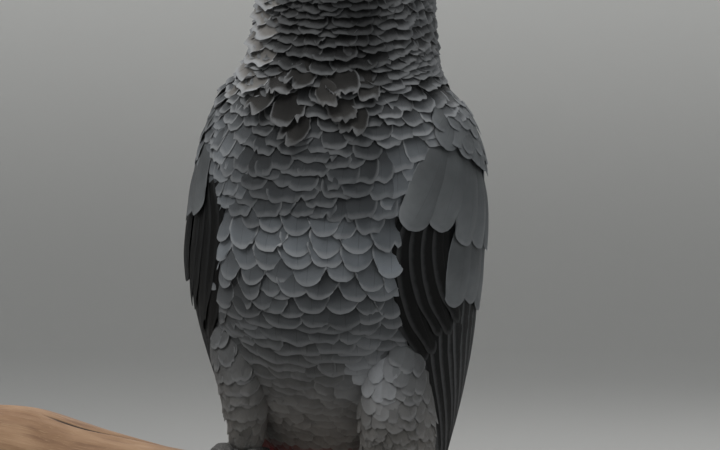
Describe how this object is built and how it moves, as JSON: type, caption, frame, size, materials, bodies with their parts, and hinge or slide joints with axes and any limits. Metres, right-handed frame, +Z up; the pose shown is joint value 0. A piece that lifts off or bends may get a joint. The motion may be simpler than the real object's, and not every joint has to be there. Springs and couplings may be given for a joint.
{
  "type": "grey parrot",
  "caption": "Life-size still model of a grey parrot gripping a short length of branch, on a plain display stand.",
  "frame": {"origin": "on the floor, under the middle of the whole model's outline", "axes": "+Z up; the bird faces -Y, so +X is its left side"},
  "size_m": [0.2422, 0.172, 0.3525],
  "materials": {
    "plumage_head": "dark grey feathers with pale edges",
    "plumage_body": "slate grey feathers with lighter edges",
    "plumage_wing": "grey coverts and near-black quills",
    "plumage_tail": "scarlet feathers",
    "bare_skin": "grey scaly skin",
    "claw_horn": "black horn",
    "bill_horn": "black horn, satin",
    "eye": "pale yellow iris under a wet clear surface",
    "bark": "dry orange-brown branch",
    "stand": "satin dark grey",
    "rod": "brushed"
  },
  "bodies": {
    "root": {"head": "plumage_head", "neck": "plumage_head", "trunk": "plumage_body", "wing_left": "plumage_wing", "wing_right": "plumage_wing", "tail": "plumage_tail", "thigh_left": "plumage_body", "thigh_right": "plumage_body", "shank_left": "bare_skin", "shank_right": "bare_skin", "toe_left_inner_front": "bare_skin", "claw_left_inner_front": "claw_horn", "toe_left_outer_front": "bare_skin", "claw_left_outer_front": "claw_horn", "toe_left_inner_back": "bare_skin", "claw_left_inner_back": "claw_horn", "toe_left_outer_back": "bare_skin", "claw_left_outer_back": "claw_horn", "toe_right_inner_front": "bare_skin", "claw_right_inner_front": "claw_horn", "toe_right_outer_front": "bare_skin", "claw_right_outer_front": "claw_horn", "toe_right_inner_back": "bare_skin", "claw_right_inner_back": "claw_horn", "toe_right_outer_back": "bare_skin", "claw_right_outer_back": "claw_horn", "bill_upper": "bill_horn", "bill_lower": "bill_horn", "eye_left": "eye", "eye_right": "eye", "perch": "bark", "stand_base": "stand", "stand_rod_left": "rod", "stand_rod_right": "rod"}
  },
  "joints": []
}
